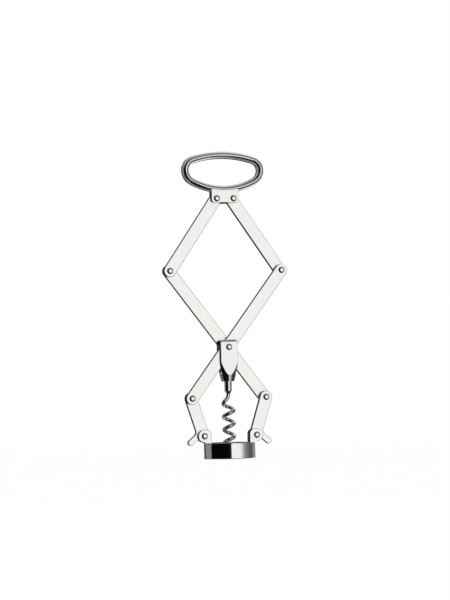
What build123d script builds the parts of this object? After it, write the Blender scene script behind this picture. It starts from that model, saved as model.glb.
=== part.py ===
"""Concertina corkscrew: two crossing bars, four short links, a worm hub, a loop handle and a bottle collar.

Millimetres, +Z up, front towards -Y. The origin is the centre of the collar's bottom rim.
The model stands part extended, as it does when it rests on its collar.
"""

import math
import os

from build123d import *

# Flat bars
bar_width = 7.9
bar_thickness = 3.0
layer_gap = 0.1
bar_edge_break = 0.3

# Linkage, pivot to pivot
lower_link_length = 25.3
crossing_bar_lower = 40.7
crossing_bar_upper = 61.6
upper_link_length = 56.0
lug_pivot_x = 16.9
handle_pivot_x = 5.55
crossing_angle = 37.0

# Fits
side_clearance = 0.05
running_clearance = 0.05
open_pivot_play = 0.95

# Rivets
rivet_radius = 1.5
rivet_head_radius = 2.1
rivet_head_height = 1.0
rivet_flat_radius = 0.8

# Bottle collar
collar_radius = 16.5
collar_height = 10.2
bottle_bore_radius = 15.1
collar_shoulder = 2.5
cork_hole_radius = 12.6
collar_rim_round = 0.4
bottle_lead_in = 0.5

# Lugs on the collar
lug_pivot_rise = 4.5
lug_top_radius = 4.1
lug_inner_reach = 4.7
lug_corner_radius = 3.4
lug_front_ear = 2.2
lug_back_ear = 1.0
lug_rib = 0.6
lug_web = 0.4
lug_edge_break = 0.25

# Tail of each lower link
tail_width = 3.7
tail_reach = 9.4
tail_tip_drop = 1.33
tail_slope = 23.0
tail_upper_fillet = 2.8
tail_lower_fillet = 1.0

# Worm hub
hub_width = 11.1
cheek_thickness = 2.1
hub_above_pivot = 4.7
hub_below_pivot = 22.0
hub_slot_below_pivot = 17.4
hub_tip_radius = 4.15
hub_cone_angle = 15.2
hub_edge_break = 0.25
hub_top_round = 1.5

# Worm
shank_radius = 2.35
shank_seat_depth = 3.5
shank_below_hub = 6.1
shank_taper = 1.9
wire_radius = 1.25
worm_pitch = 8.3
worm_radius_top = 3.42
worm_radius_bottom = 3.0
worm_lead_in = 6.0
worm_lead_in_swing = 30.0
worm_tip_height = 3.0
tip_radius = 0.15
tip_length = 4.6

# Handle
loop_half_width = 27.3
loop_band = 4.7
loop_depth = 8.4
loop_bottom_rise = 3.8
loop_widest_rise = 18.6
loop_top_rise = 30.6
loop_upper_shoulder = 6.8
loop_lower_shoulder = 8.4
bracket_width = 18.0
bracket_rear_width = 15.6
bracket_below_pivot = 2.7
bracket_drop_from_loop = 0.65
bracket_corner_radius = 2.0
bracket_edge_break = 0.2
bracket_slot_margin = 0.25

# Layers across the tool, seen along Y
front_layer_front = -layer_gap / 2 - bar_thickness
front_layer_back = -layer_gap / 2
back_layer_front = layer_gap / 2
back_layer_back = layer_gap / 2 + bar_thickness
fork_inner = back_layer_back + side_clearance
fork_outer = fork_inner + cheek_thickness
slot_middle = front_layer_back + side_clearance

# Angles of the linkage from the vertical
bar_angle = math.radians(crossing_angle)
lower_half = crossing_bar_lower * math.sin(bar_angle)
upper_half = crossing_bar_upper * math.sin(bar_angle)
lower_angle = math.asin((lower_half - lug_pivot_x) / lower_link_length)
upper_angle = math.asin((upper_half - handle_pivot_x) / upper_link_length)

# Heights of the pivots
lug_pivot_z = collar_height + lug_pivot_rise
foot_z = lug_pivot_z + lower_link_length * math.cos(lower_angle)
centre_z = foot_z + crossing_bar_lower * math.cos(bar_angle)
elbow_z = centre_z + crossing_bar_upper * math.cos(bar_angle)
handle_pivot_z = elbow_z + upper_link_length * math.cos(upper_angle)

# Pivots in the XZ plane, written as (x, z)
centre = (0, centre_z)
lug_left, lug_right = (-lug_pivot_x, lug_pivot_z), (lug_pivot_x, lug_pivot_z)
foot_left, foot_right = (-lower_half, foot_z), (lower_half, foot_z)
elbow_left, elbow_right = (-upper_half, elbow_z), (upper_half, elbow_z)
top_left, top_right = (-handle_pivot_x, handle_pivot_z), (handle_pivot_x, handle_pivot_z)

fixed_hole = rivet_radius
turning_hole = rivet_radius + running_clearance
open_hole = rivet_radius + open_pivot_play

os.makedirs("parts", exist_ok=True)


def front_plane(y):
    """XZ plane at depth y, looking from the front, with its normal towards the viewer."""
    return Plane.XZ.offset(-y)


def between(start, end):
    """Middle, length and direction in degrees of the line from start to end."""
    run, rise = end[0] - start[0], end[1] - start[1]
    middle = ((start[0] + end[0]) / 2, (start[1] + end[1]) / 2)
    return middle, math.hypot(run, rise), math.degrees(math.atan2(rise, run))


def flat_bar(first, last, holes, back_y):
    """Round-ended strip from one end pivot to the other. holes maps each pivot to its radius."""
    middle, length, direction = between(first, last)
    with BuildPart() as bar:
        with BuildSketch(front_plane(back_y)):
            with Locations(middle):
                SlotCenterToCenter(length, bar_width, rotation=direction)
            for pivot, radius in holes.items():
                with Locations(pivot):
                    Circle(radius, mode=Mode.SUBTRACT)
        extrude(amount=bar_thickness)
        faces = bar.faces().filter_by(Axis.Y)
        chamfer([edge for face in faces for edge in face.outer_wire().edges()], bar_edge_break)
    return bar


def lower_link(side, holes, back_y):
    """Short link with a finger-like tail that points outwards from its lug pivot."""
    lean = side * lower_angle
    origin = (side * lug_pivot_x, back_y, lug_pivot_z)
    link_plane = Plane(origin, x_dir=(math.cos(lean), 0, -math.sin(lean)), z_dir=(0, -1, 0))
    slope = math.radians(tail_slope)
    root = (0, tail_reach * math.tan(slope) - tail_tip_drop)
    tip = (side * tail_reach, -tail_tip_drop)
    middle, length, direction = between(root, tip)
    half_width = bar_width / 2
    upper_corner_z = root[1] + tail_width / 2 / math.cos(slope) - half_width * math.tan(slope)
    with BuildPart() as link:
        with BuildSketch(link_plane) as outline:
            with Locations((0, lower_link_length / 2)):
                SlotCenterToCenter(lower_link_length, bar_width, rotation=90)
            with Locations(middle):
                SlotCenterToCenter(length, tail_width, rotation=direction)
            corners = outline.vertices()
            upper_corner = corners.sort_by_distance((side * half_width, upper_corner_z))[0]
            lower_corner = corners.sort_by_distance((side * half_width, upper_corner_z - tail_width))[0]
            fillet(upper_corner, tail_upper_fillet)
            fillet(lower_corner, tail_lower_fillet)
            for height, radius in zip((0, lower_link_length), holes):
                with Locations((0, height)):
                    Circle(radius, mode=Mode.SUBTRACT)
        extrude(amount=bar_thickness)
        faces = link.faces().filter_by(Axis.Y)
        chamfer([edge for face in faces for edge in face.outer_wire().edges()], bar_edge_break)
    return link


def rivet(pivot, front_seat, back_seat):
    """Pin along Y with a button head on each end, flat in its middle, seated at the two given depths."""
    pivot_plane = Plane((pivot[0], 0, pivot[1]), x_dir=(1, 0, 0), z_dir=(0, 0, 1))
    front_tip_y = front_seat - rivet_head_height
    back_tip_y = back_seat + rivet_head_height
    with BuildPart() as pin:
        with BuildSketch(pivot_plane):
            with BuildLine():
                TangentArc((rivet_flat_radius, front_tip_y), (rivet_head_radius, front_seat), tangent=(1, 0))
                Polyline(
                    (rivet_head_radius, front_seat),
                    (rivet_radius, front_seat),
                    (rivet_radius, back_seat),
                    (rivet_head_radius, back_seat),
                )
                TangentArc((rivet_flat_radius, back_tip_y), (rivet_head_radius, back_seat), tangent=(1, 0))
                Polyline(
                    (rivet_flat_radius, back_tip_y),
                    (0, back_tip_y),
                    (0, front_tip_y),
                    (rivet_flat_radius, front_tip_y),
                )
            make_face()
        revolve(axis=Axis((pivot[0], 0, pivot[1]), (0, 1, 0)))
    return pin


def lug(side, slot_front, slot_back):
    """Forked ear brazed on the collar: a front ear, a slot for one link and a thinner back ear."""
    pivot = (side * lug_pivot_x, lug_pivot_z)
    inner_x = side * (lug_pivot_x - lug_inner_reach)
    front_y = slot_front - lug_front_ear
    back_y = slot_back + lug_back_ear
    slot_corner = (inner_x + side * lug_rib, collar_height + lug_web)
    outwards = Align.MIN if side > 0 else Align.MAX
    with BuildPart() as ear:
        with BuildSketch(front_plane(back_y)) as outline:
            with Locations(pivot):
                Circle(lug_top_radius)
            with Locations(((pivot[0] + inner_x) / 2, (collar_height + lug_pivot_z + lug_top_radius) / 2)):
                Rectangle(lug_inner_reach, lug_pivot_rise + lug_top_radius)
            inner_top = outline.vertices().sort_by_distance((inner_x, lug_pivot_z + lug_top_radius))[0]
            fillet(inner_top, lug_corner_radius)
        extrude(amount=back_y - front_y)
        rims = [edge for face in ear.faces().filter_by(Axis.Y) for edge in face.edges()]
        chamfer([edge for edge in rims if edge.center().Z > collar_height + lug_web], lug_edge_break)
        with BuildSketch(front_plane(slot_back)):
            with Locations(slot_corner):
                Rectangle(2 * bar_width, 2 * bar_width, align=(outwards, Align.MIN))
        extrude(amount=slot_back - slot_front, mode=Mode.SUBTRACT)
        with BuildSketch(front_plane(back_y)):
            with Locations(pivot):
                Circle(fixed_hole)
        extrude(amount=back_y - front_y, mode=Mode.SUBTRACT)
    return ear


# Bottle collar
with BuildPart() as bottle_collar:
    with BuildSketch(Plane.XY):
        Circle(collar_radius)
    extrude(amount=collar_height)
    with BuildSketch(Plane.XY):
        Circle(bottle_bore_radius)
    extrude(amount=collar_height - collar_shoulder, mode=Mode.SUBTRACT)
    with BuildSketch(Plane.XY.offset(collar_height)):
        Circle(cork_hole_radius)
    extrude(amount=-collar_shoulder, mode=Mode.SUBTRACT)
    outer_rims = bottle_collar.edges().filter_by(GeomType.CIRCLE).group_by(SortBy.RADIUS)[-1]
    fillet(outer_rims, collar_rim_round)
    mouth = bottle_collar.faces().sort_by(Axis.Z)[0].inner_wires()[0].edges()
    chamfer(mouth, bottle_lead_in)
bottle_collar.part.label = "bottle_collar"

# Lugs: the left one holds the back layer's link, the right one the front layer's
left_lug = lug(-1, slot_middle, fork_inner)
left_lug.part.label = "left_lug"
right_lug = lug(1, -fork_inner, slot_middle)
right_lug.part.label = "right_lug"

# Lower links
lower_left_link = lower_link(-1, (turning_hole, turning_hole), back_layer_back)
lower_left_link.part.label = "lower_left_link"
lower_right_link = lower_link(1, (turning_hole, turning_hole), front_layer_back)
lower_right_link.part.label = "lower_right_link"

# Crossing bars: the front one runs from the right elbow to the left foot
front_crossing_bar = flat_bar(
    elbow_right,
    foot_left,
    {elbow_right: fixed_hole, centre: turning_hole, foot_left: fixed_hole},
    front_layer_back,
)
front_crossing_bar.part.label = "front_crossing_bar"
back_crossing_bar = flat_bar(
    elbow_left,
    foot_right,
    {elbow_left: fixed_hole, centre: open_hole, foot_right: fixed_hole},
    back_layer_back,
)
back_crossing_bar.part.label = "back_crossing_bar"

# Upper links
upper_left_link = flat_bar(
    elbow_left,
    top_left,
    {elbow_left: turning_hole, top_left: open_hole},
    front_layer_back,
)
upper_left_link.part.label = "upper_left_link"
upper_right_link = flat_bar(
    elbow_right,
    top_right,
    {elbow_right: turning_hole, top_right: turning_hole},
    back_layer_back,
)
upper_right_link.part.label = "upper_right_link"

# Worm hub: a forked square block whose foot is turned to a cone
hub_top_z = centre_z + hub_above_pivot
hub_bottom_z = centre_z - hub_below_pivot
cone_rise = hub_above_pivot + hub_below_pivot
cone_top_radius = hub_tip_radius + cone_rise * math.tan(math.radians(hub_cone_angle))
with BuildPart() as worm_hub:
    with BuildSketch(Plane.XY.offset(hub_bottom_z)):
        Rectangle(hub_width, 2 * fork_outer)
    extrude(amount=hub_top_z - hub_bottom_z)
    fillet(worm_hub.edges().filter_by(Axis.Z), hub_edge_break)
    fillet(worm_hub.faces().sort_by(Axis.Z)[-1].edges().filter_by(Axis.Y), hub_top_round)
    with BuildSketch(Plane.XZ):
        with BuildLine():
            Polyline(
                (0, hub_bottom_z),
                (hub_tip_radius, hub_bottom_z),
                (cone_top_radius, hub_top_z),
                (0, hub_top_z),
                close=True,
            )
        make_face()
    revolve(axis=Axis.Z, mode=Mode.INTERSECT)
    with BuildSketch(front_plane(fork_inner)):
        with Locations((0, centre_z - hub_slot_below_pivot)):
            Rectangle(2 * hub_width, 2 * hub_below_pivot, align=(Align.CENTER, Align.MIN))
    extrude(amount=2 * fork_inner, mode=Mode.SUBTRACT)
    with BuildSketch(front_plane(fork_outer)):
        with Locations(centre):
            Circle(fixed_hole)
    extrude(amount=2 * fork_outer, mode=Mode.SUBTRACT)
    with BuildSketch(Plane.XY.offset(hub_bottom_z)):
        Circle(shank_radius)
    extrude(amount=shank_seat_depth, mode=Mode.SUBTRACT)
worm_hub.part.label = "worm_hub"

# Centre line of the worm: it leaves the axis, swings out to the first turn and winds right-handed
shank_end_z = hub_bottom_z - shank_below_hub
wire_start_z = shank_end_z - shank_taper
first_turn_z = wire_start_z - worm_lead_in
coil_start_z = first_turn_z - worm_pitch * worm_lead_in_swing / 360
coil_length_z = wire_start_z - worm_tip_height
tangent_step = 0.001


def coil_point(z):
    """Point of the coil's centre line at height z. The first turn reaches furthest to the left."""
    share = (wire_start_z - z) / coil_length_z
    radius = worm_radius_top + (worm_radius_bottom - worm_radius_top) * share
    turn = math.pi + 2 * math.pi * (z - first_turn_z) / worm_pitch
    return Vector(radius * math.cos(turn), radius * math.sin(turn), z)


def coil_direction(z):
    """Downward unit tangent of the coil at height z."""
    return (coil_point(z - tangent_step) - coil_point(z + tangent_step)).normalized()


def biarc(start, leaving, end, arriving):
    """Two arcs from start to end that keep the given unit tangents there."""
    chord = end - start
    bend = 2 * (1 - leaving.dot(arriving))
    along = chord.dot(leaving + arriving)
    reach = (math.sqrt(along * along + bend * chord.dot(chord)) - along) / bend
    first_knee = start + leaving * reach
    second_knee = end - arriving * reach
    joint = (first_knee + second_knee) * 0.5
    crossing = (second_knee - first_knee).normalized()
    TangentArc(start, joint, tangent=leaving)
    TangentArc(joint, end, tangent=crossing)


def coil_biarc(start_z, end_z):
    """Stretch of the coil between two heights."""
    biarc(coil_point(start_z), coil_direction(start_z), coil_point(end_z), coil_direction(end_z))


quarter_turn = worm_pitch / 4
tip_start_z = worm_tip_height + tip_length * worm_pitch / (2 * math.pi * worm_radius_bottom)
coil_steps = round((coil_start_z - tip_start_z) / quarter_turn)
coil_fall = (coil_start_z - tip_start_z) / coil_steps
wire_start = Vector(0, 0, wire_start_z)
downwards = Vector(0, 0, -1)

with BuildPart() as worm:
    with BuildLine() as wire_path:
        biarc(wire_start, downwards, coil_point(coil_start_z), coil_direction(coil_start_z))
        for step in range(coil_steps):
            coil_biarc(coil_start_z - step * coil_fall, coil_start_z - (step + 1) * coil_fall)
    with BuildSketch(Plane(wire_start, z_dir=downwards)):
        Circle(wire_radius)
    sweep(path=wire_path.wires()[0])
    with BuildLine() as tip_path:
        coil_biarc(tip_start_z, worm_tip_height)
    with BuildSketch(Plane(coil_point(tip_start_z), z_dir=coil_direction(tip_start_z))):
        Circle(wire_radius)
    with BuildSketch(Plane(coil_point(worm_tip_height), z_dir=coil_direction(worm_tip_height))):
        Circle(tip_radius)
    sweep(path=tip_path.wires()[0], multisection=True)
    with BuildSketch(Plane.XZ):
        with BuildLine():
            Polyline(
                (0, wire_start_z),
                (wire_radius, wire_start_z),
                (shank_radius, shank_end_z),
                (shank_radius, hub_bottom_z + shank_seat_depth),
                (0, hub_bottom_z + shank_seat_depth),
                close=True,
            )
        make_face()
    revolve(axis=Axis.Z)
worm.part.label = "worm"

# Handle loop: an oval band swept along six arcs that meet smoothly
half_band = loop_band / 2
axis_half_width = loop_half_width - half_band
axis_top = loop_top_rise - loop_widest_rise - half_band
axis_bottom = loop_widest_rise - loop_bottom_rise - half_band
upper_shoulder_x = axis_half_width - loop_upper_shoulder
lower_shoulder_x = axis_half_width - loop_lower_shoulder
widest_z = handle_pivot_z + loop_widest_rise


def long_arc_radius(rise, shoulder_x, shoulder_radius):
    """Radius of the long arc that reaches the given rise and meets the shoulder arcs smoothly."""
    spare = rise * rise + shoulder_x * shoulder_x - shoulder_radius * shoulder_radius
    return spare / (2 * (rise - shoulder_radius))


top_radius = long_arc_radius(axis_top, upper_shoulder_x, loop_upper_shoulder)
bottom_radius = long_arc_radius(axis_bottom, lower_shoulder_x, loop_lower_shoulder)
top_centre_z = widest_z + axis_top - top_radius
bottom_centre_z = widest_z - axis_bottom + bottom_radius
top_lean = math.degrees(math.atan2(upper_shoulder_x, widest_z - top_centre_z))
bottom_lean = math.degrees(math.atan2(lower_shoulder_x, bottom_centre_z - widest_z))

with BuildPart() as handle_loop:
    with BuildLine(Plane.XZ) as loop_axis:
        CenterArc((0, bottom_centre_z), bottom_radius, 270 - bottom_lean, 2 * bottom_lean)
        CenterArc((lower_shoulder_x, widest_z), loop_lower_shoulder, bottom_lean - 90, 90 - bottom_lean)
        CenterArc((upper_shoulder_x, widest_z), loop_upper_shoulder, 0, 90 - top_lean)
        CenterArc((0, top_centre_z), top_radius, 90 - top_lean, 2 * top_lean)
        CenterArc((-upper_shoulder_x, widest_z), loop_upper_shoulder, 90 + top_lean, 90 - top_lean)
        CenterArc((-lower_shoulder_x, widest_z), loop_lower_shoulder, 180, 90 - bottom_lean)
    loop_wire = loop_axis.wires()[0]
    with BuildSketch(Plane(loop_wire @ 0, x_dir=(0, 1, 0), z_dir=loop_wire % 0)):
        Ellipse(loop_depth / 2, half_band)
    sweep(path=loop_wire)
handle_loop.part.label = "handle_loop"

# Handle bracket: a block below the loop with one slot for each upper link
bracket_top_z = bottom_centre_z
bracket_bottom_z = handle_pivot_z - bracket_below_pivot
crest_radius = bottom_radius + bracket_drop_from_loop
slot_end_radius = bar_width / 2 + bracket_slot_margin
slot_top_z = handle_pivot_z + slot_end_radius


def bracket_outline(width):
    """Plate under the loop: square sides, rounded lower corners and a crest that follows the loop."""
    with Locations((0, bracket_bottom_z)):
        Rectangle(width, bracket_top_z - bracket_bottom_z, align=(Align.CENTER, Align.MIN))
    with Locations((0, bottom_centre_z)):
        Circle(crest_radius, mode=Mode.SUBTRACT)


def slot_outline(side, play):
    """Room for a link's round end and the play of its pivot, open sideways and downwards."""
    inner_x = side * (handle_pivot_x - slot_end_radius - play)
    outer_x = side * bracket_width
    with Locations(((inner_x + outer_x) / 2, slot_top_z)):
        Rectangle(abs(outer_x - inner_x), 2 * slot_end_radius, align=(Align.CENTER, Align.MAX))


with BuildPart() as handle_bracket:
    with BuildSketch(front_plane(-fork_inner)) as face_outline:
        bracket_outline(bracket_width)
        lower_corners = face_outline.vertices().group_by(Axis.Y)[0]
        fillet(lower_corners, bracket_corner_radius)
    extrude(amount=cheek_thickness)
    chamfer(handle_bracket.faces().sort_by(Axis.Y)[0].outer_wire().edges(), bracket_edge_break)
    with BuildSketch(front_plane(fork_outer)) as rear_outline:
        bracket_outline(bracket_rear_width)
        lower_corners = rear_outline.vertices().group_by(Axis.Y)[0]
        fillet(lower_corners, bracket_corner_radius)
    extrude(amount=fork_outer + fork_inner)
    chamfer(handle_bracket.faces().sort_by(Axis.Y)[-1].outer_wire().edges(), bracket_edge_break)
    with BuildSketch(front_plane(slot_middle)):
        slot_outline(-1, open_pivot_play)
    extrude(amount=slot_middle + fork_inner, mode=Mode.SUBTRACT)
    with BuildSketch(front_plane(fork_inner)):
        slot_outline(1, running_clearance)
    extrude(amount=fork_inner - slot_middle, mode=Mode.SUBTRACT)
    with BuildSketch(front_plane(fork_outer)):
        with Locations(top_left, top_right):
            Circle(fixed_hole)
    extrude(amount=2 * fork_outer, mode=Mode.SUBTRACT)
    add(handle_loop.part, mode=Mode.SUBTRACT)
handle_bracket.part.label = "handle_bracket"

# Rivets: each is clenched in the piece that its heads touch
rivet_top_left = rivet(top_left, -fork_outer, fork_outer)
rivet_top_left.part.label = "rivet_top_left"
rivet_top_right = rivet(top_right, -fork_outer, fork_outer)
rivet_top_right.part.label = "rivet_top_right"
rivet_elbow_left = rivet(elbow_left, front_layer_front - side_clearance, back_layer_back)
rivet_elbow_left.part.label = "rivet_elbow_left"
rivet_elbow_right = rivet(elbow_right, front_layer_front, back_layer_back + side_clearance)
rivet_elbow_right.part.label = "rivet_elbow_right"
rivet_centre = rivet(centre, -fork_outer, fork_outer)
rivet_centre.part.label = "rivet_centre"
rivet_foot_left = rivet(foot_left, front_layer_front, back_layer_back + side_clearance)
rivet_foot_left.part.label = "rivet_foot_left"
rivet_foot_right = rivet(foot_right, front_layer_front - side_clearance, back_layer_back)
rivet_foot_right.part.label = "rivet_foot_right"
rivet_lug_left = rivet(lug_left, slot_middle - lug_front_ear, fork_inner + lug_back_ear)
rivet_lug_left.part.label = "rivet_lug_left"
rivet_lug_right = rivet(lug_right, -fork_inner - lug_front_ear, slot_middle + lug_back_ear)
rivet_lug_right.part.label = "rivet_lug_right"

# Files
export_step(bottle_collar.part, "parts/bottle_collar.step")
export_step(left_lug.part, "parts/left_lug.step")
export_step(right_lug.part, "parts/right_lug.step")
export_step(lower_left_link.part, "parts/lower_left_link.step")
export_step(lower_right_link.part, "parts/lower_right_link.step")
export_step(front_crossing_bar.part, "parts/front_crossing_bar.step")
export_step(back_crossing_bar.part, "parts/back_crossing_bar.step")
export_step(upper_left_link.part, "parts/upper_left_link.step")
export_step(upper_right_link.part, "parts/upper_right_link.step")
export_step(worm_hub.part, "parts/worm_hub.step")
export_step(worm.part, "parts/worm.step")
export_step(handle_loop.part, "parts/handle_loop.step")
export_step(handle_bracket.part, "parts/handle_bracket.step")
export_step(rivet_top_left.part, "parts/rivet_top_left.step")
export_step(rivet_top_right.part, "parts/rivet_top_right.step")
export_step(rivet_elbow_left.part, "parts/rivet_elbow_left.step")
export_step(rivet_elbow_right.part, "parts/rivet_elbow_right.step")
export_step(rivet_centre.part, "parts/rivet_centre.step")
export_step(rivet_foot_left.part, "parts/rivet_foot_left.step")
export_step(rivet_foot_right.part, "parts/rivet_foot_right.step")
export_step(rivet_lug_left.part, "parts/rivet_lug_left.step")
export_step(rivet_lug_right.part, "parts/rivet_lug_right.step")

# Least gap between neighbouring turns of the wire, measured between points that lie most of a turn apart
gap_samples = 400
gap_turn_share = 0.6
sample_step = (first_turn_z - worm_tip_height) / gap_samples
turn_points = [coil_point(worm_tip_height + i * sample_step) for i in range(gap_samples + 1)]
samples_apart = round(gap_turn_share * worm_pitch / sample_step)
least_gap = min(
    (turn_points[i] - turn_points[j]).length - 2 * wire_radius
    for i in range(len(turn_points))
    for j in range(i + samples_apart, len(turn_points))
)
print("least gap between turns of the worm:", round(least_gap, 2))
print("pivot heights:", [round(z, 2) for z in (lug_pivot_z, foot_z, centre_z, elbow_z, handle_pivot_z)])
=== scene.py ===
"""Looks of the concertina corkscrew: polished steel, reflecting a white studio with dark flags."""

import math

import bpy
from mathutils import Matrix, Vector

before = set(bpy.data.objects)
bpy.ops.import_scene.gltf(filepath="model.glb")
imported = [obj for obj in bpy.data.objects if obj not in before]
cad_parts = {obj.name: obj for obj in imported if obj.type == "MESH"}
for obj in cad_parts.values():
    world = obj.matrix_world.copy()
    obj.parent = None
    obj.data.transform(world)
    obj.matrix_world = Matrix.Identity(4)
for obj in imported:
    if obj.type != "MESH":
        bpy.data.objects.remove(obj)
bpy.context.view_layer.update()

# Photograph, in pixels
image_height = 600
focal_pixels = 2171

# Camera, metres and degrees
camera_place = (-0.3715, -1.3441, 0.0376)
camera_yaw, camera_pitch, camera_roll = 15.43, 2.63, -1.53
camera_reach = 20
sensor_height = 24.0  # millimetres

# Studio, lengths in metres
tent_radius = 2.4
floor_radius = 0.6
floor_drop = 0.0003
floor_grey = 0.95
floor_glow = 0.9  # share of plain white where the camera sees the floor

# Wear of the steel
cloud_scale, cloud_detail = 90.0, 4.0
scratch_stretch, scratch_detail = 0.12, 6.0
scratch_share = 0.45
wear_from, wear_to = 0.3, 0.7
worn_shade = 0.95
relief_depth = 0.00002

# Sheared sides of the strips: how far a normal points along Y there and on the faces
side_normal, face_normal = 0.4, 0.85
side_roughness, side_shade = 0.1, 0.7

# Worm: height where its shank turns into the wire, metres
wire_top, wire_fade = 0.0425, 0.002
wire_roughness, wire_shade = 0.0, 0.97


def new_material(name):
    """Empty node material with its output and the two tools to fill it."""
    material = bpy.data.materials.new(name)
    material.use_nodes = True
    nodes, links = material.node_tree.nodes, material.node_tree.links
    nodes.clear()
    output = nodes.new("ShaderNodeOutputMaterial")
    return material, nodes, links, output


def mask(nodes, links, source, start, stop):
    """0 where source is at start, 1 where it is at stop."""
    node = nodes.new("ShaderNodeMapRange")
    node.inputs["From Min"].default_value = start
    node.inputs["From Max"].default_value = stop
    links.new(source, node.inputs["Value"])
    return node.outputs["Result"]


def mixed(nodes, links, kind, factor, first, second):
    """Mix of two values, each a number, a colour or a socket. kind is FLOAT or RGBA."""
    node = nodes.new("ShaderNodeMix")
    node.data_type = kind
    sockets = [s for s in node.inputs if s.enabled]
    for socket, value in zip(sockets, (factor, first, second)):
        if hasattr(value, "links"):
            links.new(value, socket)
        else:
            socket.default_value = value
    return next(s for s in node.outputs if s.enabled)


def noise(nodes, links, source, scale, detail):
    """Noise at the place that source gives."""
    node = nodes.new("ShaderNodeTexNoise")
    node.inputs["Scale"].default_value = scale
    node.inputs["Detail"].default_value = detail
    links.new(source, node.inputs["Vector"])
    return node.outputs["Fac"]


def split(nodes, links, source):
    """X, Y and Z of source."""
    node = nodes.new("ShaderNodeSeparateXYZ")
    links.new(source, node.inputs["Vector"])
    return node.outputs


def on_sides(nodes, links, place):
    """1 on the sheared sides of a strip, 0 on its faces."""
    size = nodes.new("ShaderNodeMath")
    size.operation = "ABSOLUTE"
    links.new(split(nodes, links, place.outputs["Normal"])["Y"], size.inputs[0])
    return mask(nodes, links, size.outputs["Value"], face_normal, side_normal)


def on_wire(nodes, links, place):
    """1 on the worm's wire, 0 on its shank."""
    height = split(nodes, links, place.outputs["Object"])["Z"]
    return mask(nodes, links, height, wire_top, wire_top - wire_fade)


def steel(name, colour, roughness, spread, grain, bump, dull=None):
    """Polished steel: fine wipe marks in its roughness and colour, and a faint waviness in its surface.

    dull says where it is duller, and by how much roughness and what share of its colour.
    """
    material, nodes, links, output = new_material(name)
    shader = nodes.new("ShaderNodeBsdfPrincipled")
    shader.inputs["Metallic"].default_value = 1.0
    place = nodes.new("ShaderNodeTexCoord")

    stretch = nodes.new("ShaderNodeMapping")
    stretch.inputs["Scale"].default_value = (grain, grain, grain * scratch_stretch)
    links.new(place.outputs["Object"], stretch.inputs["Vector"])
    cloud = noise(nodes, links, place.outputs["Object"], cloud_scale, cloud_detail)
    scratches = noise(nodes, links, stretch.outputs["Vector"], 1.0, scratch_detail)

    both = mixed(nodes, links, "FLOAT", scratch_share, cloud, scratches)
    wear = mask(nodes, links, both, wear_from, wear_to)
    rough = mixed(nodes, links, "FLOAT", wear, roughness, roughness + spread)
    worn_colour = (*[c * worn_shade for c in colour], 1)
    tint = mixed(nodes, links, "RGBA", cloud, (*colour, 1), worn_colour)
    if dull:
        find, duller, shade = dull
        where = find(nodes, links, place)
        rough = mixed(nodes, links, "FLOAT", where, rough, roughness + spread + duller)
        tint = mixed(nodes, links, "RGBA", where, tint, (*[c * shade for c in colour], 1))
    links.new(rough, shader.inputs["Roughness"])
    links.new(tint, shader.inputs["Base Color"])

    relief = nodes.new("ShaderNodeBump")
    relief.inputs["Strength"].default_value = bump
    relief.inputs["Distance"].default_value = relief_depth
    links.new(scratches, relief.inputs["Height"])
    links.new(relief.outputs["Normal"], shader.inputs["Normal"])
    links.new(shader.outputs["BSDF"], output.inputs["Surface"])
    return material


flat_steel = steel(
    "polished_flat_steel",
    colour=(0.95, 0.93, 0.91),
    roughness=0.07,
    spread=0.05,
    grain=900.0,
    bump=0.08,
    dull=(on_sides, side_roughness, side_shade),
)
round_steel = steel(
    "polished_round_steel",
    colour=(0.92, 0.915, 0.91),
    roughness=0.05,
    spread=0.05,
    grain=700.0,
    bump=0.05,
)
rivet_steel = steel(
    "polished_rivet_steel",
    colour=(0.93, 0.925, 0.92),
    roughness=0.06,
    spread=0.05,
    grain=1200.0,
    bump=0.06,
)
worm_steel = steel(
    "plated_worm_steel",
    colour=(0.78, 0.77, 0.76),
    roughness=0.05,
    spread=0.04,
    grain=1500.0,
    bump=0.15,
    dull=(on_wire, wire_roughness, wire_shade),
)

for name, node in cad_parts.items():
    if name.startswith("rivet"):
        finish = rivet_steel
    elif name == "worm":
        finish = worm_steel
    elif name in ("bottle_collar", "handle_loop", "worm_hub"):
        finish = round_steel
    else:
        finish = flat_steel
    for slot in node.material_slots:
        slot.material = finish


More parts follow.
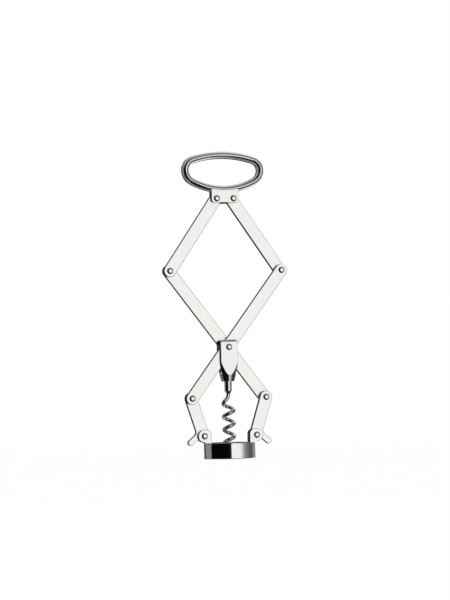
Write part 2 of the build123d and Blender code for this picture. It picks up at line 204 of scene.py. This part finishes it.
# Brightness of the studio, ring by ring from below the table up to the ceiling: first and last
# elevation of the ring, then (azimuth, tone) round it, in degrees. Azimuth counts from the front (-Y)
# towards the right (+X).
studio_rings = [
    (-90, -84, [(-180, 0.01), (180, 0.01)]),
    (-74, -62, [(-180, 0.02), (-115, 0.02), (-100, 0.01), (100, 0.01), (130, 0.02), (180, 0.02)]),
    (-50, -38, [
        (-180, 0.33), (-110, 0.33), (-100, 0.02), (100, 0.02), (115, 0.70), (150, 0.70),
        (165, 0.33),
    ]),
    (-32, -14, [
        (-180, 0.03), (-161, 0.03), (-152, 0.15), (-108, 0.17), (-103, 0.003), (3, 0.01), (8, 0.80),
        (29, 0.52), (45, 0.20), (63, 0.03), (100, 0.06), (112, 0.10), (120, 0.80), (150, 0.80),
        (160, 0.02), (180, 0.03),
    ]),
    (-9, 11, [
        (-180, 0.03), (-161, 0.03), (-156, 0.12), (-147, 0.22), (-138, 0.265), (-108, 0.25),
        (-104.5, 0.002), (-20, 0.002), (-8.5, 0.02), (-6.5, 0.97), (30, 0.95), (36, 0.86),
        (41, 0.73), (46, 0.53), (52, 0.35), (58, 0.275), (66, 0.195), (76, 0.145), (90, 0.095),
        (97, 0.075), (101, 0.10), (108, 0.22), (142, 0.31), (146, 0.80), (156, 0.80), (159.5, 0.01),
        (169, 0.01), (171, 0.60), (177, 0.60), (179, 0.03),
    ]),
    (13, 20, [
        (-180, 0.03), (-161, 0.03), (-152, 0.20), (-108, 0.25), (-104, 0.01), (-10, 0.01),
        (-6, 0.42), (35, 0.38), (60, 0.10), (80, 0.05), (98, 0.08), (112, 0.25), (124, 0.60),
        (156, 0.80), (160, 0.01), (180, 0.03),
    ]),
    (27, 36, [
        (-180, 0.05), (-164, 0.05), (-150, 0.30), (-110, 0.30), (-90, 0.03), (-12, 0.05),
        (-4, 0.20), (35, 0.18), (60, 0.06), (100, 0.05), (112, 0.25), (124, 0.85), (165, 0.60),
        (178, 0.05),
    ]),
    (44, 62, [
        (-180, 0.55), (-110, 0.40), (-80, 0.05), (-12, 0.05), (0, 0.15), (40, 0.15), (80, 0.08),
        (115, 0.85), (165, 0.85), (178, 0.55),
    ]),
    (74, 90, [(-180, 0.25), (180, 0.25)]),
]


def ramp(nodes, links, source, stops):
    """Colour ramp over source with the given (position, tone) stops."""
    node = nodes.new("ShaderNodeValToRGB")
    node.color_ramp.interpolation = "LINEAR"
    elements = node.color_ramp.elements
    while len(elements) < len(stops):
        elements.new(0.5)
    for element, (position, tone) in zip(elements, stops):
        element.position = position
        element.color = (tone, tone, tone, 1)
    links.new(source, node.inputs["Fac"])
    return node.outputs["Color"]


def tent_material():
    """Tent that glows by direction: the rings one above the other, blended in between.

    The round gradient is turned so that its middle, azimuth 0, lies at the front.
    """
    material, nodes, links, output = new_material("studio_tent")
    place = nodes.new("ShaderNodeTexCoord")
    turned = nodes.new("ShaderNodeMapping")
    turned.inputs["Rotation"].default_value = (0, 0, math.radians(90))
    links.new(place.outputs["Object"], turned.inputs["Vector"])
    around = nodes.new("ShaderNodeTexGradient")
    around.gradient_type = "RADIAL"
    links.new(turned.outputs["Vector"], around.inputs["Vector"])
    height = split(nodes, links, place.outputs["Object"])["Z"]

    colour = ring_top = None
    for first, last, stops in studio_rings:
        shares = [((azimuth + 180) / 360, tone) for azimuth, tone in stops]
        tone = ramp(nodes, links, around.outputs["Fac"], shares)
        if colour is None:
            colour = tone
        else:
            below, above = (tent_radius * math.sin(math.radians(a)) for a in (ring_top, first))
            blend = mask(nodes, links, height, below, above)
            colour = mixed(nodes, links, "RGBA", blend, colour, tone)
        ring_top = last

    glow = nodes.new("ShaderNodeEmission")
    links.new(colour, glow.inputs["Color"])
    links.new(glow.outputs["Emission"], output.inputs["Surface"])
    return material


# Tent: seen in reflections alone, and it casts no shadow
bpy.ops.mesh.primitive_uv_sphere_add(segments=96, ring_count=48, radius=tent_radius)
tent = bpy.context.object
tent.name = "studio_tent"
tent.data.materials.append(tent_material())
tent.visible_camera = False
tent.visible_diffuse = False
tent.visible_shadow = False
tent.visible_transmission = False
tent.visible_volume_scatter = False


def floor_material():
    """White floor that keeps a faint contact shadow."""
    material, nodes, links, output = new_material("studio_floor")
    matte = nodes.new("ShaderNodeBsdfDiffuse")
    matte.inputs["Color"].default_value = (floor_grey, floor_grey, floor_grey, 1)
    glow = nodes.new("ShaderNodeEmission")
    glow.inputs["Color"].default_value = (1, 1, 1, 1)
    glow.inputs["Strength"].default_value = 1.0
    rays = nodes.new("ShaderNodeLightPath")
    share = nodes.new("ShaderNodeMath")
    share.operation = "MULTIPLY"
    share.inputs[1].default_value = floor_glow
    links.new(rays.outputs["Is Camera Ray"], share.inputs[0])
    blend = nodes.new("ShaderNodeMixShader")
    links.new(share.outputs["Value"], blend.inputs["Fac"])
    links.new(matte.outputs["BSDF"], blend.inputs[1])
    links.new(glow.outputs["Emission"], blend.inputs[2])
    links.new(blend.outputs["Shader"], output.inputs["Surface"])
    return material


bpy.ops.mesh.primitive_circle_add(
    vertices=96, radius=floor_radius, fill_type="NGON", location=(0, 0, -floor_drop)
)
floor = bpy.context.object
floor.name = "studio_floor"
floor.data.materials.append(floor_material())
floor.visible_glossy = False

# World: white, as the background and as the light on the floor
world = bpy.data.worlds.new("studio_world")
bpy.context.scene.world = world
world.use_nodes = True
world_nodes, world_links = world.node_tree.nodes, world.node_tree.links
world_nodes.clear()
world_output = world_nodes.new("ShaderNodeOutputWorld")
sky = world_nodes.new("ShaderNodeBackground")
sky.inputs["Color"].default_value = (1, 1, 1, 1)
sky.inputs["Strength"].default_value = 1.0
world_links.new(sky.outputs["Background"], world_output.inputs["Surface"])

# Camera
yaw, pitch, roll = (math.radians(a) for a in (camera_yaw, camera_pitch, camera_roll))
forward = Vector((math.sin(yaw) * math.cos(pitch), math.cos(yaw) * math.cos(pitch), math.sin(pitch)))
level_right = Vector((math.cos(yaw), -math.sin(yaw), 0))
level_up = level_right.cross(forward)
right = level_right * math.cos(roll) + level_up * math.sin(roll)
up = level_up * math.cos(roll) - level_right * math.sin(roll)
camera_data = bpy.data.cameras.new("photo_camera")
camera_data.sensor_fit = "VERTICAL"
camera_data.sensor_height = sensor_height
camera_data.lens = sensor_height * focal_pixels / image_height
camera_data.clip_end = camera_reach
camera = bpy.data.objects.new("photo_camera", camera_data)
turn = Matrix((right, up, -forward)).transposed()
camera.matrix_world = Matrix.Translation(camera_place) @ turn.to_4x4()
bpy.context.collection.objects.link(camera)
bpy.context.scene.camera = camera
bpy.context.scene.view_settings.view_transform = "Standard"
